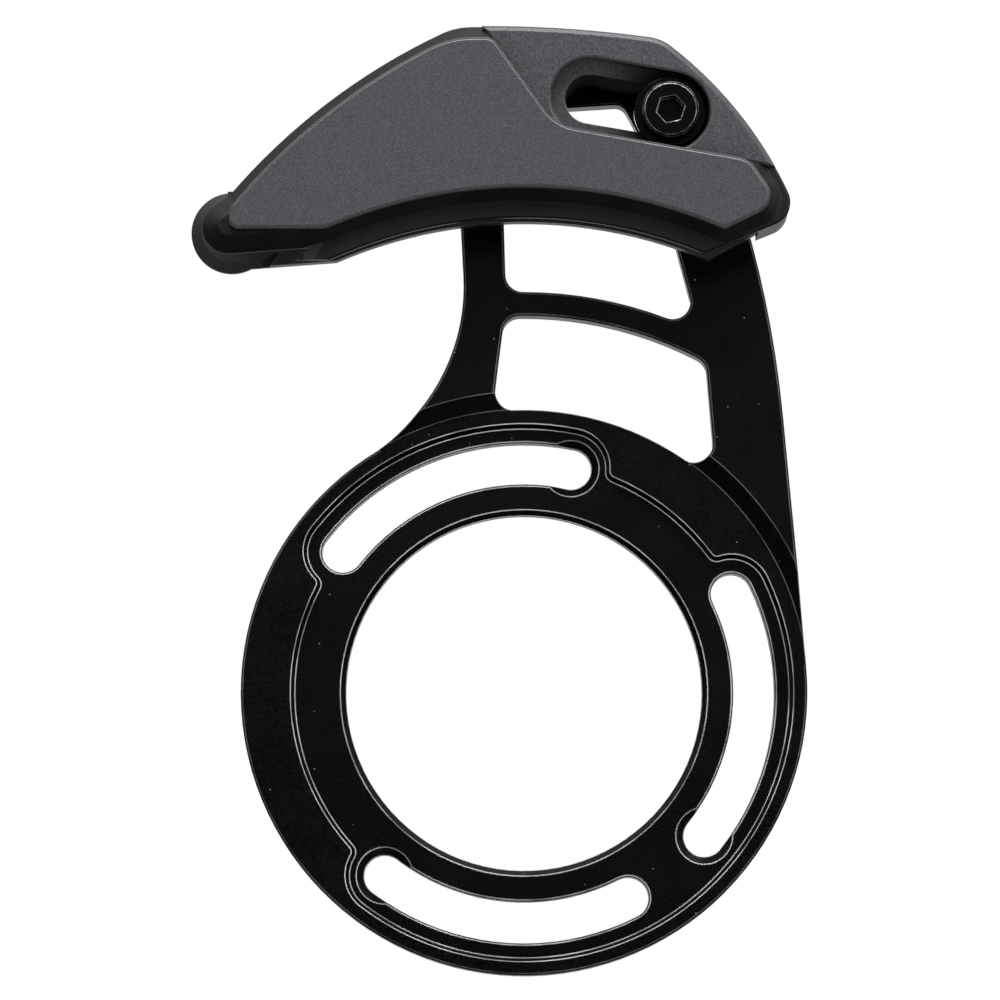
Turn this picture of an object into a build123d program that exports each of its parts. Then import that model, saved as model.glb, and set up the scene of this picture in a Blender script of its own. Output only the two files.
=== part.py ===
# Upper chain guide for a bicycle with a single chainring, bolted to three tabs round the bottom bracket.
# Frame: +X to the front of the bicycle, +Z up, -Y outboard. The origin is on the bottom bracket's axis, in the
# plane of the mounting face. A depth is a distance outboard of that plane. Millimetres and degrees.
from build123d import *

import math
import os

# Ring of the backplate
bore_radius = 28.25
bore_chamfer = 0.9
ring_radius = 44.9
ring_thickness = 5.0
bolt_circle_radius = 36.5
slot_width = 6.5
slot_sweep = 64.0
slot_starts = (-38.6, 78.2, 232.8)
dimple_radius = 4.5
dimple_depth = 1.2
seat_depth = 2.0
seat_land = 2.35
seat_inner_radius = 36.4
seat_corner = 1.6
seat_draft = 0.6

# Arm of the backplate
arm_thickness = 4.0
arm_step = 2.8
step_run = 2.5
step_clear = 0.1
leg_foot_angle = 121.0
leg_bend_height = 66.0
leg_bend_x = -9.65
leg_lean = 3.0
edge_lean = 5.2
edge_straight = 40.0
edge_bow_radius = 170.0
arm_top_rise = 6.0
shoulder_point = (-10.8, 90.0)
shoulder_slope = 43.0
arm_corner = 3.0
window_corner = 2.8
low_window_rise = 14.75
low_window_base_span = (47.2, 96.4)
low_window_top_span = (61.0, 93.0)
window_web = 3.85
high_window_span = (64.0, 92.6)
high_window_top_left = (-3.7, 92.4)
high_window_top_right = (15.7, 93.65)
high_window_elbow = (20.6, 84.5)
high_window_corner = 2.0
plate_chamfer = 0.3

# Clamp and slide
clamp_point = (22.9, 89.9)
slide_slope = 10.1
slide_travel = 12.8
slide_gap = 0.1
bolt_radius = 2.5
bolt_tip_past = 0.8
thread_gap = 0.05
head_radius = 4.4
head_height = 3.0
head_edge = 0.35
hex_across = 4.0
hex_depth = 2.2
hex_turn = 12.0
washer_radius = 5.7
washer_thickness = 1.1
washer_edge = 0.2
guide_boss_height = 2.5
guide_boss_gap = 0.15
through_slot_radius = 3.9
recess_radius = 6.2
recess_depth = 2.7
pad_radius = 6.3
lip_thickness = 2.2
lip_length = 10.0
lip_reach = 2.4
lip_offset = -19.0
lip_gap = 0.15

# Chain channel
chain_depth = 17.9
channel_width = 9.4
inner_wall = 2.6
outer_wall = 3.0
bracket_rise = 1.8
bracket_edge = 0.3
bracket_rim = 0.5
roof_rise = 8.6
heel_block_left = 36.6
spine_thickness = 3.0
bracket_left = -13.0

# Outline of the guide
back_low = (-46.3, 76.5)
shoulder_low = (-12.9, 102.35)
crown_left = (-8.5, 103.35)
crown_right = (21.5, 101.35)
flank_low = (43.9, 70.65)
back_radius = 99.45
shoulder_radius = 11.0
crown_radius = 186.0
flank_radius = 63.2
crown_corner = 7.0
heel_corner = 3.8
heel_tip = (28.4, 67.55)
heel_slope = 22.0
inner_heel_tip = (28.9, 67.75)
inner_heel_slope = 29.0
outer_low_radius = 73.0
inner_low_rise = 0.9
outer_nose_drop = 5.0
outer_nose_radius = 4.15
inner_nose_drop = 4.2
inner_nose_radius = 6.45
inner_chin_rise = 0.56
inner_chin_length = 17.3
chin_slope = 4.3
foot_place = 12.4
foot_lean = 2.0
foot_drop = 1.97
foot_length = 5.9
notch_gap = 0.4
notch_left = -21.5
notch_corner = 2.0
lead_in = 1.7
lead_in_span = (-50.0, 96.0)

# Slopes on the front of the outer guide
wall_edge = 0.4
flange_run = 1.8
flange_edge = 0.3
nose_length = 11.7
seam_drop = 2.5
seam_overlap = 6.0
crown_stop = -1.5
twist_offset = 2.6
twist_slope = 62.0
twist_run = 2.5
twist_length = 6.0

# Cover panel
panel_thickness = 1.4
panel_low_rise = 4.4
panel_kink_angle = 113.7
panel_tip_angle = 66.2
panel_back_inset = 1.75
panel_nose_inset = 4.25
panel_heel = (39.8, 74.95)
panel_top_drop = 5.85
panel_top_right = 13.5
panel_top_left = -17.2
panel_apex = (-5.0, 101.05)
panel_crown_length = 3.0
panel_crown_start = -15.4
panel_edge = 0.4
panel_hollow = 7.5
panel_apex_corner = 2.0
panel_top_corner = 4.0
panel_heel_corner = 3.0
panel_back_corner = 3.5
panel_low_corner = 1.4
panel_kink_corner = 5.0
panel_tip_corner = 0.6
panel_gap = 0.35
panel_seat_inset = 0.6
peg_radius = 1.5
peg_length = 1.4
peg_gap = 0.1
peg_points = ((-36.0, 76.5), (14.0, 80.0))

# Small screws of the guide
screw_radius = 1.25
screw_head_radius = 2.35
screw_length = 6.5
screw_hex_across = 1.5
screw_hex_depth = 0.7
outer_screw_points = ((-7.5, 95.5), (30.8, 78.8))
inner_screw_points = ((-7.5, 95.5), (30.8, 78.8), (-27.5, 90.2))
spine_boss_radius = 2.7

# Groove behind the inner guide's nose
groove_points = ((-42.6, 66.5), (-40.5, 66.5), (-38.6, 69.2), (-40.5, 68.45))
groove_depth = 1.7

# Depths of the faces
seat_face = ring_thickness - seat_depth
arm_front = ring_thickness + arm_step
arm_back = arm_front - arm_thickness
pad_back = arm_front + slide_gap
channel_inner = chain_depth - channel_width / 2
channel_outer = chain_depth + channel_width / 2
inner_back = channel_inner - inner_wall
guide_front = channel_outer + outer_wall
panel_front = guide_front + panel_thickness
slope_foot = channel_outer + wall_edge
slope_top = guide_front - panel_gap
bracket_front = channel_outer + bracket_rise
ledge = bracket_front - recess_depth
head_seat = ledge + washer_thickness
screw_head_height = screw_head_radius - screw_radius

# Places that follow from the ring, the chainring and the nose
low_window_top = ring_radius + low_window_rise
high_window_base = low_window_top + window_web
inner_low_radius = outer_low_radius + inner_low_rise
roof_radius = inner_low_radius + roof_rise
panel_low_radius = outer_low_radius + panel_low_rise
panel_left = back_low[0] - outer_nose_radius + panel_nose_inset
nose_end = back_low[0] + nose_length
seam_height = back_low[1] - seam_drop
outer_nose_height = back_low[1] - outer_nose_drop
inner_nose_height = back_low[1] - inner_nose_drop

# Heights of the two chins at the nose's middle
outer_chin = outer_nose_height - outer_nose_radius / math.cos(math.radians(chin_slope))
inner_chin = inner_nose_height - inner_nose_radius + inner_chin_rise
reach = 2 * back_radius


def face_plane(depth):
    return Plane.XZ.offset(depth)


def polar(radius, angle):
    return radius * math.cos(math.radians(angle)), radius * math.sin(math.radians(angle))


def slide_point(along, across):
    # A point given along the slide from the clamp bolt, and across it
    turn = math.radians(slide_slope)
    x = clamp_point[0] + along * math.cos(turn) + across * math.sin(turn)
    z = clamp_point[1] - along * math.sin(turn) + across * math.cos(turn)
    return x, z


def slide_across(point):
    # How far a point lies from the slide's middle line
    turn = math.radians(slide_slope)
    return (point.X - clamp_point[0]) * math.sin(turn) + (point.Z - clamp_point[1]) * math.cos(turn)


def round_corners(corners):
    # Rounds each corner of the sketch being made that lies nearest to a given point
    for point, radius in corners:
        nearest = BuildSketch._get_context().vertices().sort_by_distance(point)[0]
        fillet(nearest, radius)


def slide_slot(radius):
    # Stadium whose ends are where the bolt stands at the two ends of the slide
    middle = slide_point(-slide_travel / 2, 0)
    with BuildSketch() as outline:
        with Locations(Location((*middle, 0), (0, 0, -slide_slope))):
            SlotCenterToCenter(slide_travel, 2 * radius)
    return outline.sketch


def below_line(point, slope):
    # Large rectangle under a sloping line
    with BuildSketch() as outline:
        with Locations(Location((*point, 0), (0, 0, slope))):
            Rectangle(reach, reach, align=(Align.CENTER, Align.MAX))
    return outline.sketch


def above_line(point, slope):
    with BuildSketch() as outline:
        with Locations(Location((*point, 0), (0, 0, slope))):
            Rectangle(reach, reach, align=(Align.CENTER, Align.MIN))
    return outline.sketch


def bow(start, end, radius):
    # Middle and centre of the arc that bows to the left of the way from start to end
    run, rise = end[0] - start[0], end[1] - start[1]
    length = math.hypot(run, rise)
    across = (-rise / length, run / length)
    middle = ((start[0] + end[0]) / 2, (start[1] + end[1]) / 2)
    depth = math.sqrt(radius**2 - length**2 / 4)
    center = (middle[0] - depth * across[0], middle[1] - depth * across[1])
    return (center[0] + radius * across[0], center[1] + radius * across[1]), center


def bowed(start, end, radius):
    ThreePointArc(start, bow(start, end, radius)[0], end)


def on_arc(center, radius, x):
    # The point of a circle's upper half at a given x
    return x, center[1] + math.sqrt(radius**2 - (x - center[0]) ** 2)


def chin_line(low, x):
    return x, low + (x - back_low[0]) * math.tan(math.radians(chin_slope))


def draw_nose():
    # Outer nose, from where the chin leaves it to the back's lower end
    turn = math.radians(chin_slope)
    spread = math.degrees(math.acos(outer_nose_radius / (back_low[1] - outer_nose_height)))
    dx, dz = polar(outer_nose_radius, 90 + spread)
    chin_start = chin_line(outer_chin, back_low[0] + outer_nose_radius * math.sin(turn))
    touch = (back_low[0] + dx, outer_nose_height + dz)
    ThreePointArc(chin_start, (back_low[0] - outer_nose_radius, outer_nose_height), touch)
    Line(touch, back_low)
    return chin_start


def draw_back():
    bowed(back_low, shoulder_low, back_radius)
    bowed(shoulder_low, crown_left, shoulder_radius)


def trim_outline(outline, low_radius, tip, slope):
    # Cuts the lower edge to the chainring and the heel, and rounds the front corners
    add(below_line(tip, slope), mode=Mode.SUBTRACT)
    Circle(low_radius, mode=Mode.SUBTRACT)
    heel = outline.vertices().sort_by(Axis.X)[-1]
    fillet(heel, heel_corner)
    round_corners([(crown_right, crown_corner)])


def outer_guide_outline():
    # Side view of the outer wall: round back, flat crown, bowed flank, and a nose that ends in a small foot
    foot_top = chin_line(outer_chin, back_low[0] + foot_place)
    foot_low = (foot_top[0] - foot_lean, foot_top[1] - foot_drop)
    foot_end = (foot_low[0] + foot_length, foot_low[1])
    with BuildSketch() as outline:
        with BuildLine():
            chin_start = draw_nose()
            draw_back()
            bowed(crown_left, crown_right, crown_radius)
            bowed(crown_right, flank_low, flank_radius)
            Polyline(
                flank_low,
                (flank_low[0], 0),
                (foot_end[0], 0),
                foot_end,
                foot_low,
                foot_top,
                chin_start,
            )
        make_face()
        trim_outline(outline, outer_low_radius, heel_tip, heel_slope)
    return outline.sketch


def inner_guide_outline():
    # Side view of the inner wall, whose nose is a larger disc
    chin_end = chin_line(inner_chin, back_low[0] + inner_chin_length)
    with BuildSketch() as outline:
        with BuildLine():
            draw_back()
            bowed(crown_left, crown_right, crown_radius)
            bowed(crown_right, flank_low, flank_radius)
            Polyline(
                flank_low,
                (flank_low[0], 0),
                (chin_end[0], 0),
                chin_end,
                chin_line(inner_chin, back_low[0]),
                back_low,
            )
        make_face()
        with Locations((back_low[0], inner_nose_height)):
            Circle(inner_nose_radius)
        trim_outline(outline, inner_low_radius, inner_heel_tip, inner_heel_slope)
    return outline.sketch


def panel_marks():
    # Corners of the raised panel, in order from the back's lower end
    center = bow(back_low, shoulder_low, back_radius)[1]
    inset_radius = back_radius - panel_back_inset
    kink = polar(panel_low_radius, panel_kink_angle)
    return {
        "back_low": on_arc(center, inset_radius, panel_left),
        "low_left": (panel_left, kink[1]),
        "kink": kink,
        "tip": polar(panel_low_radius, panel_tip_angle),
        "top_right": slide_point(panel_top_right, -panel_top_drop),
        "top_left": slide_point(panel_top_left, -panel_top_drop),
        "crown": (panel_apex[0] - panel_crown_length, panel_apex[1]),
        "back_high": on_arc(center, inset_radius, panel_crown_start),
        "back_mid": on_arc(center, inset_radius, (panel_left + panel_crown_start) / 2),
    }


def panel_outline():
    # Raised panel: its lower edge is concentric with the chainring and its top edge runs along the slide
    at = panel_marks()
    short_end = at["back_low"][1] - at["low_left"][1]
    with BuildSketch() as outline:
        with BuildLine():
            Polyline(at["back_low"], at["low_left"], at["kink"])
            ThreePointArc(at["kink"], (0, panel_low_radius), at["tip"])
            Polyline(at["tip"], panel_heel, at["top_right"], at["top_left"], panel_apex, at["crown"])
            TangentArc(at["crown"], at["back_high"], tangent=(-1, 0))
            ThreePointArc(at["back_high"], at["back_mid"], at["back_low"])
        make_face()
        round_corners(
            [
                (at["top_left"], panel_hollow),
                (at["top_right"], panel_top_corner),
                (panel_heel, panel_heel_corner),
                (panel_apex, panel_apex_corner),
                (at["back_low"], min(panel_back_corner, 1.2 * short_end)),
                (at["low_left"], min(panel_low_corner, short_end / 2)),
                (at["kink"], panel_kink_corner),
                (at["tip"], panel_tip_corner),
            ]
        )
    return outline.sketch


def nose_outline():
    # Nose, back and crown of the outer guide, with the chin and the crown run on past the seam
    center = bow(crown_left, crown_right, crown_radius)[1]
    crown_end = on_arc(center, crown_radius, crown_stop + seam_overlap)
    crown_mid = on_arc(center, crown_radius, (crown_left[0] + crown_stop) / 2)
    chin_end = chin_line(outer_chin, nose_end + seam_overlap)
    with BuildSketch() as outline:
        with BuildLine():
            Line(chin_end, draw_nose())
            draw_back()
            ThreePointArc(crown_left, crown_mid, crown_end)
            Polyline(crown_end, (chin_end[0], seam_height + seam_overlap), chin_end)
        make_face()
    return outline.sketch


def behind_seam():
    # The part of the side view where the nose's slope takes over from the bevel
    with BuildSketch() as outline:
        with BuildLine():
            Polyline(
                (nose_end, 0),
                (nose_end, seam_height),
                (crown_stop, panel_apex[1] + panel_seat_inset),
                (crown_stop, reach),
                (-reach, reach),
                (-reach, 0),
                close=True,
            )
        make_face()
    return outline.sketch


def flange_zone():
    # The part of the side view below the panel's middle and ahead of the seam
    with BuildSketch() as outline:
        with BuildLine():
            Polyline(
                (nose_end, 0),
                (nose_end, seam_height),
                (0, clamp_point[1]),
                (reach, clamp_point[1]),
                (reach, 0),
                close=True,
            )
        make_face()
    return outline.sketch


def bracket_window():
    # The part of the side view that the outer guide leaves open, where the bracket shows
    hollow = slide_point(panel_top_left, -panel_top_drop)
    rise = (panel_apex[0] - hollow[0], panel_apex[1] - hollow[1])
    above = (hollow[0] + 2 * rise[0], hollow[1] + 2 * rise[1])
    right = slide_point(back_radius, -panel_top_drop)
    with BuildSketch() as outline:
        with BuildLine():
            Polyline(hollow, right, (right[0], above[1]), above, close=True)
        make_face()
        round_corners([(hollow, panel_hollow)])
    return outline.sketch


def roof_outline():
    # Room for the chain under the bracket, which is closed by a block at the heel
    with BuildSketch() as outline:
        Circle(roof_radius)
        with Locations((heel_block_left, 0)):
            Rectangle(reach, 2 * reach, align=(Align.MIN, Align.CENTER), mode=Mode.SUBTRACT)
    return outline.sketch


def arm_outline():
    # Blank of the arm: a leg that curves into the ring, and a front edge that leaves the ring as a tangent
    leg_turn = math.radians(leg_lean)
    leg_top = (leg_bend_x - reach * math.sin(leg_turn), leg_bend_height + reach * math.cos(leg_turn))
    edge_turn = math.radians(edge_lean)
    edge_foot = polar(ring_radius, edge_lean)
    bow_start = (
        edge_foot[0] - edge_straight * math.sin(edge_turn),
        edge_foot[1] + edge_straight * math.cos(edge_turn),
    )
    bow_center = (
        bow_start[0] - edge_bow_radius * math.cos(edge_turn),
        bow_start[1] - edge_bow_radius * math.sin(edge_turn),
    )
    bow_end_offset = polar(edge_bow_radius, edge_lean + 30)
    bow_end = (bow_center[0] + bow_end_offset[0], bow_center[1] + bow_end_offset[1])
    bow_mid_offset = polar(edge_bow_radius, edge_lean + 15)
    bow_mid = (bow_center[0] + bow_mid_offset[0], bow_center[1] + bow_mid_offset[1])
    leg_foot = polar(ring_radius, leg_foot_angle)
    leg_bend = (leg_bend_x, leg_bend_height)
    with BuildSketch() as outline:
        with BuildLine():
            Line(edge_foot, bow_start)
            ThreePointArc(bow_start, bow_mid, bow_end)
            Polyline(bow_end, leg_top, leg_bend)
            TangentArc(leg_bend, leg_foot, tangent=(math.sin(leg_turn), -math.cos(leg_turn)))
            Line(leg_foot, edge_foot)
        make_face()
        add(above_line(slide_point(0, arm_top_rise), -slide_slope), mode=Mode.SUBTRACT)
        add(above_line(shoulder_point, shoulder_slope), mode=Mode.SUBTRACT)
        fillet(outline.vertices().sort_by(Axis.Y)[-2:], arm_corner)
    return outline.sketch


def low_window():
    base_start, base_end = low_window_base_span
    top_start, top_end = low_window_top_span
    with BuildSketch() as outline:
        with BuildLine():
            CenterArc((0, 0), ring_radius, base_start, base_end - base_start)
            Line(polar(ring_radius, base_end), polar(low_window_top, top_end))
            CenterArc((0, 0), low_window_top, top_start, top_end - top_start)
            Line(polar(low_window_top, top_start), polar(ring_radius, base_start))
        make_face()
        fillet(outline.vertices(), window_corner)
    return outline.sketch


def high_window():
    start, end = high_window_span
    with BuildSketch() as outline:
        with BuildLine():
            CenterArc((0, 0), high_window_base, start, end - start)
            Polyline(
                polar(high_window_base, end),
                high_window_top_left,
                high_window_top_right,
                high_window_elbow,
                polar(high_window_base, start),
            )
        make_face()
        round_corners(
            [
                (polar(high_window_base, start), window_corner),
                (polar(high_window_base, end), window_corner),
                (high_window_top_left, window_corner),
                (high_window_top_right, high_window_corner),
            ]
        )
    return outline.sketch


def seat_outline(grow):
    # Milled seat for the bolt heads: a ring round the bore that swells round the slots
    right_start, top_start, low_start = slot_starts
    low_to_right = right_start + slot_sweep - (low_start - 360)
    width = slot_width + 2 * (seat_land + grow)
    with BuildSketch() as outline:
        Circle(seat_inner_radius + grow)
        SlotArc(CenterArc((0, 0), bolt_circle_radius, low_start - 360, low_to_right, mode=Mode.PRIVATE), width)
        SlotArc(CenterArc((0, 0), bolt_circle_radius, top_start, slot_sweep, mode=Mode.PRIVATE), width)
        rim = seat_inner_radius + grow
        necks = outline.vertices().filter_by(lambda v: abs(math.hypot(v.X, v.Y) - rim) < 0.01)
        fillet(necks, seat_corner - grow)
    return outline.sketch


def slot_outlines():
    with BuildSketch() as outline:
        for start in slot_starts:
            SlotArc(CenterArc((0, 0), bolt_circle_radius, start, slot_sweep, mode=Mode.PRIVATE), slot_width)
    return outline.sketch


def turned(point, profile):
    # Half section of a turned shape about a line through the point, given as pairs of radius and depth
    plane = Plane(origin=(point[0], 0, point[1]), x_dir=(1, 0, 0), z_dir=(0, 0, 1))
    with BuildSketch(plane) as section:
        with BuildLine():
            Polyline(*[(radius, -depth) for radius, depth in profile], close=True)
        make_face()
    return section.sketch


def screw_section(face, way):
    # Half section of a countersunk screw whose head is flush with a face and which runs out of it one way or the other
    return [
        (0, face),
        (screw_head_radius, face),
        (screw_radius, face + way * screw_head_height),
        (screw_radius, face + way * screw_length),
        (0, face + way * screw_length),
    ]


def turning_axis(point):
    return Axis((point[0], 0, point[1]), (0, 1, 0))


def front_edges(part, depth):
    # Edges that lie in the plane at a depth
    return part.edges().filter_by(
        lambda e: abs(e.bounding_box().min.Y + depth) < 0.001 and abs(e.bounding_box().max.Y + depth) < 0.001
    )


# Arm of the backplate with its windows and broken edges
with BuildPart() as arm:
    with BuildSketch(face_plane(0)):
        add(arm_outline())
        add(low_window(), mode=Mode.SUBTRACT)
        add(high_window(), mode=Mode.SUBTRACT)
    extrude(amount=arm_front)
    chamfer(front_edges(arm, arm_front), plate_chamfer)

# Backplate: ring, stepped arm and boss for the clamp bolt
with BuildPart() as backplate:
    add(arm.part)
    step_foot = ring_radius + step_clear
    with BuildSketch(Plane.XY):
        with BuildLine():
            Polyline(
                (0, -ring_thickness),
                (step_foot, -ring_thickness),
                (step_foot + step_run, -arm_front),
                (step_foot + step_run, -2 * arm_front),
                (0, -2 * arm_front),
                close=True,
            )
        make_face()
    revolve(axis=Axis.Y, mode=Mode.SUBTRACT)
    with BuildSketch(Plane.XY):
        with BuildLine():
            Polyline(
                (step_foot + step_run, ring_thickness),
                (step_foot + step_run, 0),
                (step_foot + 2 * step_run, -arm_back),
                (reach, -arm_back),
                (reach, ring_thickness),
                close=True,
            )
        make_face()
    revolve(axis=Axis.Y, mode=Mode.SUBTRACT)
    with BuildSketch(Plane.XY):
        with BuildLine():
            Polyline(
                (0, 0),
                (ring_radius, 0),
                (ring_radius, plate_chamfer - ring_thickness),
                (ring_radius - plate_chamfer, -ring_thickness),
                (0, -ring_thickness),
                close=True,
            )
        make_face()
    revolve(axis=Axis.Y)
    with BuildSketch(face_plane(seat_face)):
        add(seat_outline(0))
    with BuildSketch(face_plane(ring_thickness)):
        add(seat_outline(seat_draft))
    loft(ruled=True, mode=Mode.SUBTRACT)
    with BuildSketch(face_plane(0)):
        Circle(bore_radius)
    extrude(amount=ring_thickness, mode=Mode.SUBTRACT)
    bore_rim = front_edges(backplate, seat_face).filter_by(GeomType.CIRCLE).sort_by(SortBy.RADIUS)
    chamfer(bore_rim.filter_by(lambda e: abs(e.radius - bore_radius) < 0.01), bore_chamfer)
    with BuildSketch(face_plane(0)):
        add(slot_outlines())
    extrude(amount=ring_thickness, mode=Mode.SUBTRACT)
    slot_sides = [bolt_circle_radius + slot_width / 2, bolt_circle_radius - slot_width / 2, slot_width / 2]
    slot_rims = front_edges(backplate, seat_face).filter_by(GeomType.CIRCLE).filter_by(
        lambda e: min(abs(e.radius - side) for side in slot_sides) < 0.01
    )
    chamfer(slot_rims, plate_chamfer)
    for start in slot_starts:
        dimple_point = polar(bolt_circle_radius, start)
        dimple = [
            (0, seat_face),
            (dimple_radius, seat_face),
            (dimple_radius - dimple_depth, seat_face - dimple_depth),
            (0, seat_face - dimple_depth),
        ]
        revolve(turned(dimple_point, dimple), axis=turning_axis(dimple_point), mode=Mode.SUBTRACT)
    with BuildSketch(face_plane(arm_front)):
        with Locations(clamp_point):
            Circle(through_slot_radius - guide_boss_gap)
    extrude(amount=guide_boss_height)
    with BuildSketch(face_plane(0)):
        with Locations(clamp_point):
            Circle(bolt_radius + thread_gap)
    extrude(amount=arm_front + guide_boss_height, mode=Mode.SUBTRACT)
backplate.part.label = "backplate"

slope_run = panel_marks()["low_left"][1] - chin_line(outer_chin, nose_end)[1]
flange_front = slope_top - (slope_top - slope_foot) * flange_run / slope_run
outer_outline = outer_guide_outline()
inner_outline = inner_guide_outline()
panel_shape = panel_outline()
window_shape = bracket_window()
with BuildSketch() as panel_seat:
    add(panel_shape)
    offset(amount=-panel_seat_inset, kind=Kind.INTERSECTION)
with BuildSketch() as bevel_core:
    add(panel_shape)
    offset(amount=-2 * panel_seat_inset, kind=Kind.INTERSECTION)

# Slide bracket: carries both guide walls and slides on the arm under the clamp bolt
with BuildPart() as slide_bracket:
    with BuildSketch(face_plane(channel_inner)):
        add(outer_outline)
        add(roof_outline(), mode=Mode.SUBTRACT)
        with Locations((bracket_left, 0)):
            Rectangle(reach, 2 * reach, align=(Align.MAX, Align.CENTER), mode=Mode.SUBTRACT)
    extrude(amount=bracket_front - channel_inner)
    with BuildSketch(face_plane(channel_outer)):
        add(outer_outline)
        add(window_shape, mode=Mode.SUBTRACT)
    extrude(amount=bracket_rise, mode=Mode.SUBTRACT)
    with BuildSketch(face_plane(pad_back)):
        add(slide_slot(pad_radius))
    extrude(amount=channel_inner - pad_back)
    lip_low = arm_top_rise + lip_gap
    with BuildSketch(face_plane(arm_front - lip_reach)):
        with Locations(Location((*slide_point(lip_offset, lip_low), 0), (0, 0, -slide_slope))):
            Rectangle(lip_length, lip_thickness, align=(Align.MIN, Align.MIN))
    extrude(amount=channel_inner - arm_front + lip_reach)
    with BuildSketch(face_plane(ledge)):
        add(slide_slot(recess_radius))
    extrude(amount=recess_depth, mode=Mode.SUBTRACT)
    with BuildSketch(face_plane(pad_back)):
        add(slide_slot(through_slot_radius))
    extrude(amount=bracket_front - pad_back, mode=Mode.SUBTRACT)
    rims = front_edges(slide_bracket, bracket_front)
    outer_rim = rims.filter_by(
        lambda e: e.geom_type == GeomType.CIRCLE and abs(slide_across(e.center())) > recess_radius + bracket_rim
    )
    chamfer(outer_rim, bracket_rim)
    slot_rim = front_edges(slide_bracket, bracket_front).filter_by(
        lambda e: abs(slide_across(e.center())) < recess_radius + bracket_edge
    )
    chamfer(slot_rim, bracket_edge)
    with BuildSketch(face_plane(guide_front - screw_length)):
        with Locations(outer_screw_points):
            Circle(screw_radius)
    extrude(amount=screw_length, mode=Mode.SUBTRACT)
    with BuildSketch(face_plane(inner_back)):
        with Locations(inner_screw_points):
            Circle(screw_radius)
    extrude(amount=screw_length, mode=Mode.SUBTRACT)
slide_bracket.part.label = "slide_bracket"

# Sloped edge of the outer guide below and ahead of the panel
with BuildPart() as bevel:
    with BuildSketch(face_plane(slope_foot)):
        add(panel_shape)
        offset(amount=slope_run, kind=Kind.ARC)
    with BuildSketch(face_plane(slope_top)):
        add(panel_shape)
    loft(ruled=True)
    with BuildSketch(face_plane(channel_outer)):
        add(outer_outline)
        add(window_shape, mode=Mode.SUBTRACT)
    extrude(amount=outer_wall, mode=Mode.INTERSECT)
    with BuildSketch(face_plane(channel_outer)):
        add(behind_seam())
        add(bevel_core.sketch, mode=Mode.SUBTRACT)
    extrude(amount=outer_wall, mode=Mode.SUBTRACT)

# Flange under the slope, which twists back to the nose at its rear end
with BuildPart() as flange:
    with BuildSketch(face_plane(channel_outer)):
        add(outer_outline)
        add(flange_zone(), mode=Mode.INTERSECT)
        add(window_shape, mode=Mode.SUBTRACT)
    extrude(amount=flange_front - channel_outer)
    flange_rims = front_edges(flange, flange_front).filter_by(
        lambda e: e.center().X > bracket_left and e.center().Z < clamp_point[1]
    )
    chamfer(flange_rims, flange_edge)
    twist_turn = math.radians(twist_slope)
    twist_point = chin_line(outer_chin, nose_end)
    twist_plane = Plane(
        origin=(twist_point[0] + twist_offset, 0, twist_point[1]),
        x_dir=(math.sin(twist_turn), 0, -math.cos(twist_turn)),
        z_dir=(math.cos(twist_turn), 0, math.sin(twist_turn)),
    )
    with BuildSketch(twist_plane):
        with BuildLine():
            Polyline(
                (0, -flange_front),
                (-twist_run, -slope_foot),
                (-twist_length, -slope_foot),
                (-twist_length, -guide_front),
                (0, -guide_front),
                close=True,
            )
        make_face()
    extrude(amount=twist_length, both=True, mode=Mode.SUBTRACT)

# Slope of the nose, which goes on along the back and the crown
with BuildPart() as nose:
    with BuildSketch(face_plane(slope_foot)):
        add(nose_outline())
    with BuildSketch(face_plane(slope_top)):
        add(nose_outline())
        offset(amount=-slope_run, kind=Kind.INTERSECTION)
    loft(ruled=True)
    with BuildSketch(face_plane(channel_outer)):
        add(window_shape)
        with Locations((nose_end, seam_height)):
            Rectangle(reach, reach, align=(Align.MIN, Align.MAX))
    extrude(amount=outer_wall, mode=Mode.SUBTRACT)

# Outer guide: outer wall of the chain channel, with a spine that closes the channel's back
with BuildPart() as outer_guide:
    with BuildSketch(face_plane(channel_outer)):
        add(outer_outline)
        add(window_shape, mode=Mode.SUBTRACT)
    extrude(amount=wall_edge)
    add(bevel.part)
    add(nose.part)
    add(flange.part)
    with BuildSketch(face_plane(channel_outer)):
        add(panel_seat.sketch)
    extrude(amount=outer_wall)
    with BuildSketch(face_plane(channel_inner)):
        add(outer_outline)
        with Locations(bow(back_low, shoulder_low, back_radius)[1]):
            Circle(back_radius - spine_thickness, mode=Mode.SUBTRACT)
        with Locations((bracket_left, 0)):
            Rectangle(reach, 2 * reach, align=(Align.MIN, Align.CENTER), mode=Mode.SUBTRACT)
        with Locations((back_low[0], outer_nose_height)):
            Circle(inner_nose_radius, mode=Mode.SUBTRACT)
            Rectangle(reach, 2 * reach, align=(Align.MAX, Align.CENTER), mode=Mode.SUBTRACT)
        with Locations(inner_screw_points[-1]):
            Circle(spine_boss_radius)
    extrude(amount=channel_width)
    for point in outer_screw_points:
        revolve(turned(point, screw_section(guide_front, -1)), axis=turning_axis(point), mode=Mode.SUBTRACT)
    with BuildSketch(face_plane(guide_front)):
        with Locations(peg_points):
            Circle(peg_radius + peg_gap)
    extrude(amount=-peg_length - peg_gap, mode=Mode.SUBTRACT)
    with BuildSketch(face_plane(channel_inner)):
        with Locations(inner_screw_points[-1]):
            Circle(screw_radius)
    extrude(amount=screw_length - inner_wall, mode=Mode.SUBTRACT)
outer_guide.part.label = "outer_guide"

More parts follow.
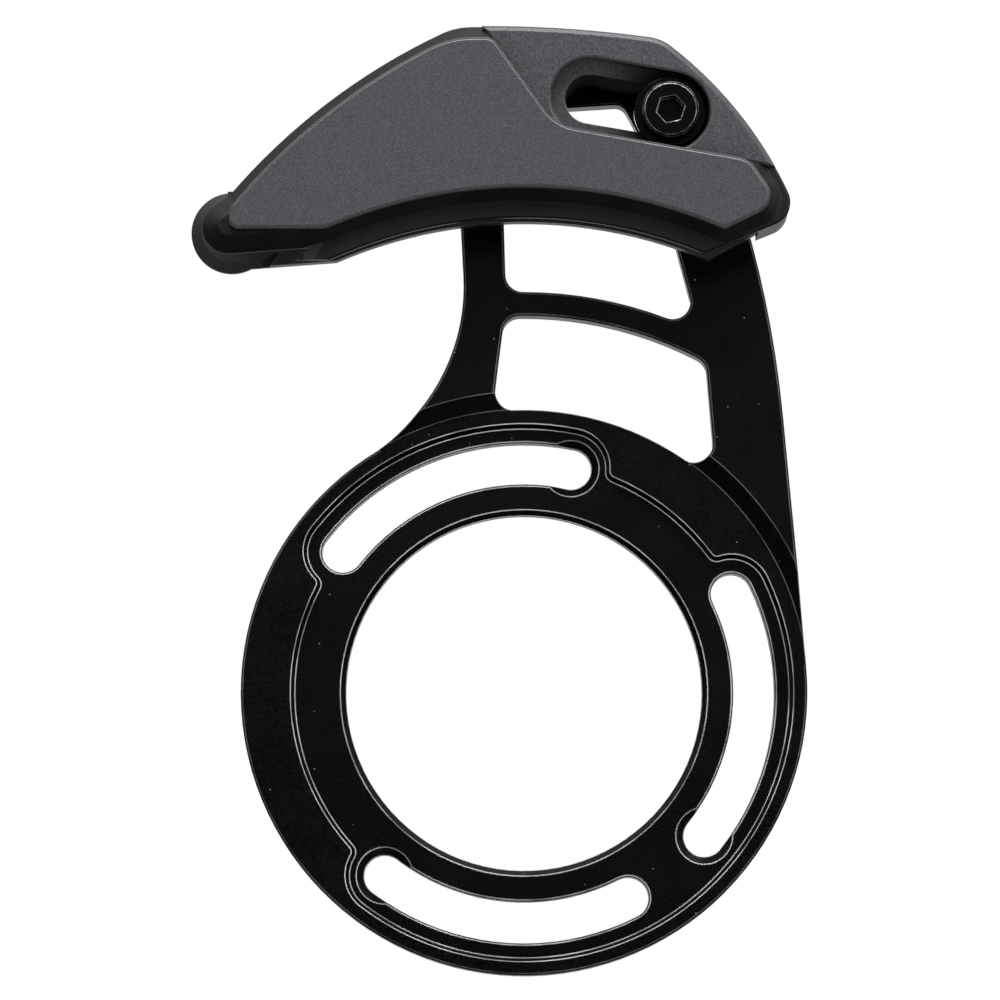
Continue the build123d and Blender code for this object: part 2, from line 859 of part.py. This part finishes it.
# Cover panel, located by pegs on its back
with BuildPart() as cover_panel:
    with BuildSketch(face_plane(guide_front)):
        add(panel_shape)
    extrude(amount=panel_thickness)
    chamfer(cover_panel.faces().sort_by(Axis.Y)[0].edges(), panel_edge)
    with BuildSketch(face_plane(guide_front)):
        with Locations(peg_points):
            Circle(peg_radius)
    extrude(amount=-peg_length)
cover_panel.part.label = "cover_panel"

# Cone that leads the chain in round the free side of the inner guide's nose
with BuildPart() as lead_cone:
    cone_point = (back_low[0], inner_nose_height)
    cone_section = [
        (inner_nose_radius - lead_in, channel_inner),
        (inner_nose_radius + lead_in, channel_inner),
        (inner_nose_radius + lead_in, channel_inner - 2 * lead_in),
    ]
    revolve(turned(cone_point, cone_section), axis=turning_axis(cone_point))
    span_marks = [polar(4 * inner_nose_radius, angle) for angle in (lead_in_span[0], 0, lead_in_span[1])]
    span_marks = [(cone_point[0] + mark[0], cone_point[1] + mark[1]) for mark in span_marks]
    with BuildSketch(face_plane(channel_inner)):
        with BuildLine():
            Polyline(cone_point, *span_marks, close=True)
        make_face()
    extrude(amount=-2 * lead_in, mode=Mode.SUBTRACT)

# Inner guide: inner wall of the chain channel, notched for the slide, with a rounded lead-in at the nose
with BuildPart() as inner_guide:
    with BuildSketch(face_plane(inner_back)):
        add(inner_outline)
        notch_low = -pad_radius - notch_gap
        with Locations(Location((*slide_point(notch_left, notch_low), 0), (0, 0, -slide_slope))):
            Rectangle(reach, reach, align=(Align.MIN, Align.MIN), mode=Mode.SUBTRACT)
        round_corners([(slide_point(notch_left, notch_low), notch_corner)])
    extrude(amount=inner_wall)
    add(lead_cone.part, mode=Mode.SUBTRACT)
    for point in inner_screw_points:
        revolve(turned(point, screw_section(inner_back, 1)), axis=turning_axis(point), mode=Mode.SUBTRACT)
    with BuildSketch(face_plane(channel_inner)):
        with BuildLine():
            Polyline(*groove_points, close=True)
        make_face()
    extrude(amount=-groove_depth, mode=Mode.SUBTRACT)
inner_guide.part.label = "inner_guide"

# Clamp bolt with a hexagon socket, screwed into the arm's boss
with BuildPart() as clamp_bolt:
    with BuildSketch(face_plane(arm_back - bolt_tip_past)):
        with Locations(clamp_point):
            Circle(bolt_radius)
    extrude(amount=head_seat - arm_back + bolt_tip_past)
    with BuildSketch(face_plane(head_seat)):
        with Locations(clamp_point):
            Circle(head_radius)
    extrude(amount=head_height)
    chamfer(clamp_bolt.faces().sort_by(Axis.Y)[0].edges(), head_edge)
    chamfer(clamp_bolt.faces().sort_by(Axis.Y)[-1].edges(), head_edge)
    with BuildSketch(face_plane(head_seat + head_height)):
        with Locations(clamp_point):
            RegularPolygon(hex_across / 2, 6, major_radius=False, rotation=hex_turn)
    extrude(amount=-hex_depth, mode=Mode.SUBTRACT)
clamp_bolt.part.label = "clamp_bolt"

# Washer that spans the recess under the bolt's head
with BuildPart() as clamp_washer:
    with BuildSketch(face_plane(ledge)):
        with Locations(clamp_point):
            Circle(washer_radius)
            Circle(bolt_radius + guide_boss_gap, mode=Mode.SUBTRACT)
    extrude(amount=washer_thickness)
    rim = clamp_washer.faces().sort_by(Axis.Y)[0].edges().sort_by(SortBy.RADIUS)[-1]
    chamfer(rim, washer_edge)
clamp_washer.part.label = "clamp_washer"

# Countersunk screws that hold the outer guide to the bracket
with BuildPart() as outer_guide_screws:
    for point in outer_screw_points:
        revolve(turned(point, screw_section(guide_front, -1)), axis=turning_axis(point))
outer_guide_screws.part.label = "outer_guide_screws"

# Countersunk screws that hold the inner guide to the bracket and to the outer guide's spine
with BuildPart() as inner_guide_screws:
    for point in inner_screw_points:
        revolve(turned(point, screw_section(inner_back, 1)), axis=turning_axis(point))
    with BuildSketch(face_plane(inner_back)):
        with Locations(inner_screw_points):
            RegularPolygon(screw_hex_across / 2, 6, major_radius=False)
    extrude(amount=screw_hex_depth, mode=Mode.SUBTRACT)
inner_guide_screws.part.label = "inner_guide_screws"

os.makedirs("parts", exist_ok=True)
export_step(backplate.part, "parts/backplate.step")
export_step(slide_bracket.part, "parts/slide_bracket.step")
export_step(outer_guide.part, "parts/outer_guide.step")
export_step(cover_panel.part, "parts/cover_panel.step")
export_step(inner_guide.part, "parts/inner_guide.step")
export_step(clamp_bolt.part, "parts/clamp_bolt.step")
export_step(clamp_washer.part, "parts/clamp_washer.step")
export_step(outer_guide_screws.part, "parts/outer_guide_screws.step")
export_step(inner_guide_screws.part, "parts/inner_guide_screws.step")
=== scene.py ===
import math
import bpy
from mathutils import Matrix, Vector

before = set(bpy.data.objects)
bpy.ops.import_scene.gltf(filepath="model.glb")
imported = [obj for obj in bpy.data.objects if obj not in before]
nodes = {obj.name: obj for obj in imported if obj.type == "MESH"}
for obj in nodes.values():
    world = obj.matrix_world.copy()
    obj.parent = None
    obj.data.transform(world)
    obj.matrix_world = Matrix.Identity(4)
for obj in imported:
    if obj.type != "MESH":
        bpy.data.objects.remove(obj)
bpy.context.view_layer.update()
millimetre = 0.001
white = (1, 1, 1, 1)
inPlate = (1, 0, 1)  # keeps the two directions that lie in the plate
clampPoint = (0.0229, 0.0899)  # the clamp bolt's axis at rest, forward and up, in metres
edgeSamples = 6
rangeSockets = ("From Min", "From Max", "To Min", "To Max")


def linear(hexText):
    # sRGB hex to the linear colour that shaders take
    parts = [int(hexText[i:i + 2], 16) / 255 for i in (1, 3, 5)]
    parts = [c / 12.92 if c <= 0.04045 else ((c + 0.055) / 1.055) ** 2.4 for c in parts]
    return (*parts, 1.0)


def addNode(tree, kind, values=None, links=None, **options):
    # one shader node with its options, socket values and incoming links
    made = tree.nodes.new(kind)
    for name, value in options.items():
        setattr(made, name, value)
    for key, value in (values or {}).items():
        made.inputs[key].default_value = value
    for key, source in (links or {}).items():
        tree.links.new(source, made.inputs[key])
    return made


def startMaterial(name, settings=None):
    # a Principled material with its fixed numbers set, and the part's own coordinates
    material = bpy.data.materials.new(name)
    material.use_nodes = True
    tree = material.node_tree
    shader = tree.nodes["Principled BSDF"]
    for key, value in (settings or {}).items():
        shader.inputs[key].default_value = value
    place = addNode(tree, "ShaderNodeTexCoord").outputs["Object"]
    return material, tree, shader, place


def setStops(ramp, positions, tones):
    # the two ends of a colour ramp
    for stop, position, tone in zip(ramp.color_ramp.elements, positions, tones):
        stop.position = position
        stop.color = linear(tone)


def edgeMask(tree, radius, turnRange):
    # rounded edge normals, and a mask that goes from 0 on a flat to 1 on the edge itself
    rounded = addNode(tree, "ShaderNodeBevel", {"Radius": radius * millimetre}, samples=edgeSamples)
    flat = addNode(tree, "ShaderNodeNewGeometry")
    turn = addNode(
        tree, "ShaderNodeVectorMath",
        links={0: rounded.outputs["Normal"], 1: flat.outputs["Normal"]}, operation="DOT_PRODUCT",
    )
    mask = addNode(
        tree, "ShaderNodeMapRange", dict(zip(rangeSockets, (*turnRange, 0.0, 1.0))),
        {"Value": turn.outputs["Value"]},
    )
    return rounded.outputs["Normal"], mask.outputs["Result"]


# Black anodised aluminium, bead blasted: nearly black satin with a fine grain, drawn coarser than the
# real one so that it shows, a few specks of dust, and thin near-white lines on the edges inside the ring,
# where tools and bolt heads rub the dye off, made far brighter than bare metal as a painted highlight of
# their glint; the outline stays black. Lengths here and below are in millimetres
anodised = {
    "dye": ("#000000", "#0a0a0b"),  # in the pits of the grain and on its tops
    "dyeStops": (0.42, 0.58),
    "grain": 0.3,
    "grainDetail": 2.0,
    "blastStrength": 0.35,
    "blastHeight": 0.03,
    "patch": 9.0,  # gloss and wear change over about this length
    "patchDetail": 3.0,
    "glossRange": (0.3, 0.7),
    "roughness": (0.21, 0.27),
    "edgeRadius": 0.27,
    "edgeTurn": (0.993, 0.95),  # how far the normal turns, from flat to worn
    # worn bare edges, with a painted highlight in place of their glint
    "wornEdgeGlint": "#f0f0f2",
    "wearRange": (0.36, 0.56),
    "wearAndGlint": (0.35, 1.0),
    "rubbedReach": (43.4, 44.4),  # from the ring's axis
    "outlineWear": 0.2,
    "dust": "#8c8d90",
    "dustSpacing": 3.2,
    "speckSize": (0.025, 0.045),  # shares of the spacing
    "dustCover": 0.7,
}
anodisedMaterial, tree, shader, place = startMaterial("blackAnodisedAluminium")
grain = addNode(
    tree, "ShaderNodeTexNoise",
    {"Scale": 1 / (anodised["grain"] * millimetre), "Detail": anodised["grainDetail"]},
    {"Vector": place},
)
patches = addNode(
    tree, "ShaderNodeTexNoise",
    {"Scale": 1 / (anodised["patch"] * millimetre), "Detail": anodised["patchDetail"]},
    {"Vector": place},
)
satin = addNode(
    tree, "ShaderNodeMapRange",
    dict(zip(rangeSockets, (*anodised["glossRange"], *anodised["roughness"]))),
    {"Value": patches.outputs["Fac"]},
)
roundNormal, edge = edgeMask(tree, anodised["edgeRadius"], anodised["edgeTurn"])
wearAndPaintedLight = addNode(
    tree, "ShaderNodeMapRange",
    dict(zip(rangeSockets, (*anodised["wearRange"], *anodised["wearAndGlint"]))),
    {"Value": patches.outputs["Fac"]},
)
sideways = addNode(tree, "ShaderNodeVectorMath", {1: inPlate}, {0: place}, operation="MULTIPLY")
fromAxis = addNode(
    tree, "ShaderNodeVectorMath", links={0: sideways.outputs["Vector"]}, operation="LENGTH"
)
rubbedReach = [length * millimetre for length in anodised["rubbedReach"]]
insideRing = addNode(
    tree, "ShaderNodeMapRange",
    dict(zip(rangeSockets, (*rubbedReach, 1.0, anodised["outlineWear"]))),
    {"Value": fromAxis.outputs["Value"]},
)
rubbedRing = addNode(
    tree, "ShaderNodeMath",
    links={0: wearAndPaintedLight.outputs["Result"], 1: insideRing.outputs["Result"]}, operation="MULTIPLY",
)
# wear and painted highlight: the edges inside the ring turn near white in patches, for their glint
wearAndGlint = addNode(
    tree, "ShaderNodeMath", links={0: edge, 1: rubbedRing.outputs["Value"]}, operation="MULTIPLY"
)
dyed = addNode(tree, "ShaderNodeValToRGB", links={"Fac": grain.outputs["Fac"]})
setStops(dyed, anodised["dyeStops"], anodised["dye"])
edged = addNode(
    tree, "ShaderNodeMix", {7: linear(anodised["wornEdgeGlint"])},
    {0: wearAndGlint.outputs["Value"], 6: dyed.outputs["Color"]}, data_type="RGBA",
)
cells = addNode(
    tree, "ShaderNodeTexVoronoi", {"Scale": 1 / (anodised["dustSpacing"] * millimetre)},
    {"Vector": place},
)
speck = addNode(
    tree, "ShaderNodeMapRange",
    dict(zip(rangeSockets, (*anodised["speckSize"], anodised["dustCover"], 0.0))),
    {"Value": cells.outputs["Distance"]},
)
dusted = addNode(
    tree, "ShaderNodeMix", {7: linear(anodised["dust"])},
    {0: speck.outputs["Result"], 6: edged.outputs[2]}, data_type="RGBA",
)
blast = addNode(
    tree, "ShaderNodeBump",
    {"Strength": anodised["blastStrength"], "Distance": anodised["blastHeight"] * millimetre},
    {"Height": grain.outputs["Fac"], "Normal": roundNormal},
)
tree.links.new(dusted.outputs[2], shader.inputs["Base Color"])
tree.links.new(satin.outputs["Result"], shader.inputs["Roughness"])
tree.links.new(blast.outputs["Normal"], shader.inputs["Normal"])

# Grey metallic paint on the panel and the bracket: a matt film full of bright flakes, drawn coarser than
# real ones so that they show, with softly rounded edges; those that face up and a little right carry a
# near-white painted highlight. Inside the clamp slot and in the recess round the bolt it turns dull black,
# a painted shade
paint = {
    "film": ("#323337", "#5d5e61"),  # between the flakes and on them
    "filmStops": (0.4, 0.6),
    "metallic": 0.25,
    "flake": 0.17,
    "flakeDetail": 2.0,
    "flakeContrast": 0.8,
    "flakeStrength": 0.08,
    "flakeHeight": 0.03,
    "edgeRadius": 0.16,
    "edgeTurn": (0.993, 0.93),
    "highlightEdge": "#d4d5d8",
    "highlightFrom": (0.3, 0, 0.95),  # the way that edges with the painted highlight face
    "highlightRange": (0.1, 0.4),
    "shadeTone": "#0b0b0c",
    "roughness": (0.42, 0.9),  # on the paint and in the painted shade
    "slideSlope": 10.1,  # degrees that the slot falls towards the front
    "slideTravel": 12.8,
    "slotReach": 4.3,  # from the slot's middle line to just past its walls
    "ledgeDepth": 21.55,  # the washer's ledge, outboard of the mounting face
    "recessReach": 6.35,
    "shadeDepth": 23.9,  # the painted shade on the walls ends here, below the bracket's face
    "shadeRadius": (6.5, 13.0),  # wholly shaded, and not at all
}
paintMaterial, tree, shader, place = startMaterial("greyMetallicPaint", {"Metallic": paint["metallic"]})
flakes = addNode(
    tree, "ShaderNodeTexNoise",
    {
        "Scale": 1 / (paint["flake"] * millimetre), "Detail": paint["flakeDetail"],
        "Roughness": paint["flakeContrast"],
    },
    {"Vector": place},
)
film = addNode(tree, "ShaderNodeValToRGB", links={"Fac": flakes.outputs["Fac"]})
setStops(film, paint["filmStops"], paint["film"])
roundNormal, edge = edgeMask(tree, paint["edgeRadius"], paint["edgeTurn"])
# painted highlight: rounded edges facing up and a little right turn near white
facing = addNode(
    tree, "ShaderNodeVectorMath", {1: paint["highlightFrom"]}, {0: roundNormal}, operation="DOT_PRODUCT"
)
upward = addNode(
    tree, "ShaderNodeMapRange", dict(zip(rangeSockets, (*paint["highlightRange"], 0.0, 1.0))),
    {"Value": facing.outputs["Value"]},
)
highlightEdge = addNode(
    tree, "ShaderNodeMath", links={0: edge, 1: upward.outputs["Result"]}, operation="MULTIPLY"
)
edged = addNode(
    tree, "ShaderNodeMix", {7: linear(paint["highlightEdge"])},
    {0: highlightEdge.outputs["Value"], 6: film.outputs["Color"]}, data_type="RGBA",
)
# distance from the line that the bolt takes along the slot
slope = math.radians(paint["slideSlope"])
slideWay = (math.cos(slope), 0, -math.sin(slope))
boltPlace = (clampPoint[0], -paint["ledgeDepth"] * millimetre, clampPoint[1])
fromBolt = addNode(tree, "ShaderNodeVectorMath", {1: boltPlace}, {0: place}, operation="SUBTRACT")
along = addNode(
    tree, "ShaderNodeVectorMath", {1: slideWay}, {0: fromBolt.outputs["Vector"]},
    operation="DOT_PRODUCT",
)
held = addNode(
    tree, "ShaderNodeClamp", {"Min": -paint["slideTravel"] * millimetre, "Max": 0.0},
    {"Value": along.outputs["Value"]},
)
onLine = addNode(
    tree, "ShaderNodeVectorMath", {0: slideWay}, {"Scale": held.outputs["Result"]}, operation="SCALE"
)
flatGap = addNode(
    tree, "ShaderNodeVectorMath", {1: inPlate}, {0: fromBolt.outputs["Vector"]}, operation="MULTIPLY"
)
fromSlot = addNode(
    tree, "ShaderNodeVectorMath",
    links={0: flatGap.outputs["Vector"], 1: onLine.outputs["Vector"]}, operation="DISTANCE",
)
# painted shade: dull black below the ledge inside the slot, and in the recess near the bolt
depth = addNode(tree, "ShaderNodeSeparateXYZ", links={0: place})
inSlot = addNode(
    tree, "ShaderNodeMath", {1: paint["slotReach"] * millimetre}, {0: fromSlot.outputs["Value"]},
    operation="LESS_THAN",
)
deep = addNode(
    tree, "ShaderNodeMath", {1: -paint["ledgeDepth"] * millimetre}, {0: depth.outputs["Y"]},
    operation="GREATER_THAN",
)
slotShade = addNode(
    tree, "ShaderNodeMath", links={0: inSlot.outputs["Value"], 1: deep.outputs["Value"]},
    operation="MULTIPLY",
)
inRecess = addNode(
    tree, "ShaderNodeMath", {1: paint["recessReach"] * millimetre}, {0: fromSlot.outputs["Value"]},
    operation="LESS_THAN",
)
sunk = addNode(
    tree, "ShaderNodeMath", {1: -paint["shadeDepth"] * millimetre}, {0: depth.outputs["Y"]},
    operation="GREATER_THAN",
)
sunkRecess = addNode(
    tree, "ShaderNodeMath", links={0: inRecess.outputs["Value"], 1: sunk.outputs["Value"]},
    operation="MULTIPLY",
)
# painted shade in the recess, darkest at the bolt and fading out away from it
boltGap = addNode(
    tree, "ShaderNodeVectorMath", links={0: fromBolt.outputs["Vector"]}, operation="LENGTH"
)
shadeRadius = [length * millimetre for length in paint["shadeRadius"]]
shadeFade = addNode(
    tree, "ShaderNodeMapRange", dict(zip(rangeSockets, (*shadeRadius, 1.0, 0.0))),
    {"Value": boltGap.outputs["Value"]},
)
wearAndPaintedLight = addNode(
    tree, "ShaderNodeMath", links={0: shadeFade.outputs["Result"], 1: sunkRecess.outputs["Value"]},
    operation="MULTIPLY",
)
paintedShade = addNode(
    tree, "ShaderNodeMath", links={0: slotShade.outputs["Value"], 1: wearAndPaintedLight.outputs["Value"]},
    operation="MAXIMUM",
)
coloured = addNode(
    tree, "ShaderNodeMix", {7: linear(paint["shadeTone"])},
    {0: paintedShade.outputs["Value"], 6: edged.outputs[2]}, data_type="RGBA",
)
matt = addNode(
    tree, "ShaderNodeMapRange", dict(zip(rangeSockets, (0.0, 1.0, *paint["roughness"]))),
    {"Value": paintedShade.outputs["Value"]},
)
flakeBump = addNode(
    tree, "ShaderNodeBump",
    {"Strength": paint["flakeStrength"], "Distance": paint["flakeHeight"] * millimetre},
    {"Height": flakes.outputs["Fac"], "Normal": roundNormal},
)
tree.links.new(coloured.outputs[2], shader.inputs["Base Color"])
tree.links.new(matt.outputs["Result"], shader.inputs["Roughness"])
tree.links.new(flakeBump.outputs["Normal"], shader.inputs["Normal"])

# Glass-filled nylon, moulded in a spark-eroded tool: black and dull, with a pebbled texture that is drawn
# coarser than the real one so that it shows, a soft sheen on the slopes, and paler corners where the chain
# and hands have rubbed it; the inner guide's copy is a little lighter, painted light for its lit nose
resin = {
    # painted light: the inner copy's lighter tones stand in for the light falling on its nose
    "tones": {"outer": ("#0d0d0d", "#121213"), "inner": ("#232426", "#2b2c2e")},
    "toneStops": (0.35, 0.65),
    "ior": 1.53,
    "texture": 0.24,
    "textureDetail": 2.0,
    "textureStrength": 0.2,
    "textureHeight": 0.04,
    "cloud": 7.0,  # tone and gloss change over about this length
    "cloudDetail": 3.0,
    "dullRange": (0.3, 0.7),
    "roughness": (0.33, 0.4),
    "edgeRadius": 0.18,
    "edgeTurn": (0.985, 0.8),
    "wearAndPaintedLight": "#424346",
}
resinMaterials = {}
for use, tones in resin["tones"].items():
    resinMaterials[use], tree, shader, place = startMaterial(
        f"mouldedBlackNylon.{use}", {"IOR": resin["ior"]}
    )
    texture = addNode(
        tree, "ShaderNodeTexNoise",
        {"Scale": 1 / (resin["texture"] * millimetre), "Detail": resin["textureDetail"]},
        {"Vector": place},
    )
    clouds = addNode(
        tree, "ShaderNodeTexNoise",
        {"Scale": 1 / (resin["cloud"] * millimetre), "Detail": resin["cloudDetail"]},
        {"Vector": place},
    )
    clouded = addNode(tree, "ShaderNodeValToRGB", links={"Fac": clouds.outputs["Fac"]})
    setStops(clouded, resin["toneStops"], tones)
    roundNormal, edge = edgeMask(tree, resin["edgeRadius"], resin["edgeTurn"])
    edged = addNode(
        tree, "ShaderNodeMix", {7: linear(resin["wearAndPaintedLight"])}, {0: edge, 6: clouded.outputs["Color"]},
        data_type="RGBA",
    )
    dull = addNode(
        tree, "ShaderNodeMapRange",
        dict(zip(rangeSockets, (*resin["dullRange"], *resin["roughness"]))),
        {"Value": clouds.outputs["Fac"]},
    )
    sparked = addNode(
        tree, "ShaderNodeBump",
        {"Strength": resin["textureStrength"], "Distance": resin["textureHeight"] * millimetre},
        {"Height": texture.outputs["Fac"], "Normal": roundNormal},
    )
    tree.links.new(edged.outputs[2], shader.inputs["Base Color"])
    tree.links.new(dull.outputs["Result"], shader.inputs["Roughness"])
    tree.links.new(sparked.outputs["Normal"], shader.inputs["Normal"])

# Black oxide on the turned steel of the bolt and the screws: dark and shiny, with faint lathe rings round
# the clamp bolt's axis, drawn coarser than real ones so that they show. Its edges that face up carry a
# near-white painted highlight, broken up by noise. The washer is turned from aluminium and anodised, and
# its edges stay black
turned = {
    "tone": "#040404",
    "edges": {"blackOxideSteel": "#f4f4f6", "blackAnodisedAluminium.washer": "#0e0e0f"},
    "metallic": 0.3,
    "roughness": 0.22,
    "ringSpacing": 0.4,
    "wavePhase": 20,  # a wave texture's radians for each unit of length
    "ringWobble": 0.6,
    "ringStrength": 0.06,
    "ringHeight": 0.03,
    "edgeRadius": 0.2,
    "edgeTurn": (0.99, 0.95),
    "glintBreak": 0.9,
    "glintBreakDetail": 2.0,
    "glintBreakRange": (0.38, 0.54),
    "upRange": (-0.3, 0.25),
    "wearAndGlint": (0.25, 1.0),
}
turnedMaterials = {}
for name, glintTone in turned["edges"].items():
    turnedMaterials[name], tree, shader, place = startMaterial(
        name, {"Roughness": turned["roughness"], "Metallic": turned["metallic"]}
    )
    centred = addNode(
        tree, "ShaderNodeMapping", {"Location": (-clampPoint[0], 0, -clampPoint[1])}, {"Vector": place}
    )
    ringScale = math.tau / (turned["wavePhase"] * turned["ringSpacing"] * millimetre)
    rings = addNode(
        tree, "ShaderNodeTexWave", {"Scale": ringScale, "Distortion": turned["ringWobble"]},
        {"Vector": centred.outputs["Vector"]}, wave_type="RINGS", rings_direction="Y",
    )
    roundNormal, edge = edgeMask(tree, turned["edgeRadius"], turned["edgeTurn"])
    # painted highlight: near-white glints on the edges that face up, broken by noise
    glintBreaks = addNode(
        tree, "ShaderNodeTexNoise",
        {"Scale": 1 / (turned["glintBreak"] * millimetre), "Detail": turned["glintBreakDetail"]},
        {"Vector": place},
    )
    brokenGlint = addNode(
        tree, "ShaderNodeMapRange",
        dict(zip(rangeSockets, (*turned["glintBreakRange"], *turned["wearAndGlint"]))),
        {"Value": glintBreaks.outputs["Fac"]},
    )
    facing = addNode(tree, "ShaderNodeSeparateXYZ", links={0: roundNormal})
    upward = addNode(
        tree, "ShaderNodeMapRange",
        dict(zip(rangeSockets, (*turned["upRange"], *turned["wearAndGlint"]))),
        {"Value": facing.outputs["Z"]},
    )
    bright = addNode(
        tree, "ShaderNodeMath",
        links={0: brokenGlint.outputs["Result"], 1: upward.outputs["Result"]}, operation="MULTIPLY",
    )
    wearAndGlint = addNode(
        tree, "ShaderNodeMath", links={0: edge, 1: bright.outputs["Value"]}, operation="MULTIPLY"
    )
    edged = addNode(
        tree, "ShaderNodeMix", {6: linear(turned["tone"]), 7: linear(glintTone)},
        {0: wearAndGlint.outputs["Value"]}, data_type="RGBA",
    )
    latheMarks = addNode(
        tree, "ShaderNodeBump",
        {"Strength": turned["ringStrength"], "Distance": turned["ringHeight"] * millimetre},
        {"Height": rings.outputs["Fac"], "Normal": roundNormal},
    )
    tree.links.new(edged.outputs[2], shader.inputs["Base Color"])
    tree.links.new(latheMarks.outputs["Normal"], shader.inputs["Normal"])
print("materials made")

finishes = {
    "backplate": anodisedMaterial,
    "slide_bracket": paintMaterial,
    "cover_panel": paintMaterial,
    "outer_guide": resinMaterials["outer"],
    "inner_guide": resinMaterials["inner"],
    "clamp_washer": turnedMaterials["blackAnodisedAluminium.washer"],
    "clamp_bolt": turnedMaterials["blackOxideSteel"],
    "outer_guide_screws": turnedMaterials["blackOxideSteel"],
    "inner_guide_screws": turnedMaterials["blackOxideSteel"],
}
for name, material in finishes.items():
    slots = nodes[name].data.materials
    slots.clear()
    slots.append(material)
print("nodes dressed")

# Pale paper floor well below the part, which the photograph's view doesn't reach. It glows more the
# farther off it is, so that it runs out to white without a horizon. The part mirrors the dim room instead
# of the paper, and from under it the floor is clear, so that a view from below shows the part
paperFloor = {
    "half": 9.0, "height": -0.45, "tone": "#f6f6f6", "roughness": 0.9,  # metres
    "fade": (0.5, 2.4), "glow": (0.1, 0.75),
}
half = paperFloor["half"]
corners = [(-half, -half, 0), (half, -half, 0), (half, half, 0), (-half, half, 0)]
floorMesh = bpy.data.meshes.new("floor")
floorMesh.from_pydata(corners, [], [(0, 1, 2, 3)])
floor = bpy.data.objects.new("floor", floorMesh)
floor.location = (0, 0, paperFloor["height"])
floor.visible_glossy = False
bpy.context.scene.collection.objects.link(floor)
floorMaterial, tree, shader, place = startMaterial(
    "paleFloor",
    {
        "Base Color": linear(paperFloor["tone"]), "Roughness": paperFloor["roughness"],
        "Emission Color": white,
    },
)
reach = addNode(tree, "ShaderNodeVectorMath", links={0: place}, operation="LENGTH")
glow = addNode(
    tree, "ShaderNodeMapRange",
    dict(zip(rangeSockets, (*paperFloor["fade"], *paperFloor["glow"]))),
    {"Value": reach.outputs["Value"]}, interpolation_type="SMOOTHSTEP",
)
tree.links.new(glow.outputs["Result"], shader.inputs["Emission Strength"])
side = addNode(tree, "ShaderNodeNewGeometry")
clear = addNode(tree, "ShaderNodeBsdfTransparent")
oneSided = addNode(
    tree, "ShaderNodeMixShader",
    links={0: side.outputs["Backfacing"], 1: shader.outputs["BSDF"], 2: clear.outputs["BSDF"]},
)
tree.links.new(oneSided.outputs["Shader"], tree.nodes["Material Output"].inputs["Surface"])
floorMaterial.cycles.emission_sampling = "NONE"
floorMesh.materials.append(floorMaterial)
print("floor laid")

# Soft boxes: place, aim and size in metres, power in watts
lights = {
    "topBox": ((0.05, -0.6, 0.88), (0, 0, 0.05), (0.8, 0.4), 9.5),
    "leftStrip": ((-0.6, -0.65, 0.2), (0, 0, 0.06), (0.12, 0.5), 0.45),
    "rightStrip": ((0.75, -0.5, 0.12), (0, 0, 0.04), (0.15, 0.6), 1.6),
    "rearBox": ((-0.25, 0.8, 0.35), (0, 0, 0.04), (0.6, 0.35), 1.6),
}
for name, (spot, aim, size, power) in lights.items():
    lamp = bpy.data.lights.new(name, "AREA")
    lamp.shape = "RECTANGLE"
    lamp.size, lamp.size_y = size
    lamp.energy = power
    lampObject = bpy.data.objects.new(name, lamp)
    lampObject.location = spot
    lampObject.rotation_euler = (Vector(aim) - Vector(spot)).to_track_quat("-Z", "Y").to_euler()
    bpy.context.scene.collection.objects.link(lampObject)

# White for the camera. The part mirrors pale paper behind it, and in front of it a room that is dark below
# and grows lighter towards the ceiling
room = {
    "dark": 0.01, "ceiling": 0.8, "horizon": 0.05,
    "paper": 0.5, "turn": (0.5, 0.9),  # how far back a direction points where the paper starts and is full
}
world = bpy.data.worlds.new("paper")
bpy.context.scene.world = world
world.use_nodes = True
tree = world.node_tree
tree.nodes.clear()
way = addNode(tree, "ShaderNodeTexCoord")
parts = addNode(tree, "ShaderNodeSeparateXYZ", links={0: way.outputs["Generated"]})
ceiling = addNode(
    tree, "ShaderNodeMapRange",
    dict(zip(rangeSockets, (room["horizon"], 1.0, room["dark"], room["ceiling"]))),
    {"Value": parts.outputs["Z"]},
)
paper = addNode(
    tree, "ShaderNodeMapRange", dict(zip(rangeSockets, (*room["turn"], 0.0, room["paper"]))),
    {"Value": parts.outputs["Y"]}, interpolation_type="SMOOTHSTEP",
)
level = addNode(
    tree, "ShaderNodeMath", links={0: ceiling.outputs["Result"], 1: paper.outputs["Result"]},
    operation="MAXIMUM",
)
path = addNode(tree, "ShaderNodeLightPath")
seen = addNode(tree, "ShaderNodeBackground", {"Color": white, "Strength": 1.0})
around = addNode(
    tree, "ShaderNodeBackground", {"Color": white}, {"Strength": level.outputs["Value"]}
)
either = addNode(
    tree, "ShaderNodeMixShader",
    links={0: path.outputs["Is Camera Ray"], 1: around.outputs[0], 2: seen.outputs[0]},
)
addNode(tree, "ShaderNodeOutputWorld", links={"Surface": either.outputs[0]})
bpy.context.scene.view_settings.view_transform = "Standard"
print("light set")

# Camera from the photograph: far off, a little below the ring's middle, looking up by six degrees
shot = {
    "eye": (-0.005, -1.0, -0.07695), "aim": (-0.00381, -0.005, 0.03048),  # metres
    "lens": 226.74, "sensor": 36,
}
eye = Vector(shot["eye"])
camera = bpy.data.cameras.new("camera")
camera.sensor_width = shot["sensor"]
camera.lens = shot["lens"]
cameraObject = bpy.data.objects.new("camera", camera)
cameraObject.location = eye
cameraObject.rotation_euler = (Vector(shot["aim"]) - eye).to_track_quat("-Z", "Y").to_euler()
bpy.context.scene.collection.objects.link(cameraObject)
bpy.context.scene.camera = cameraObject
print("camera set")
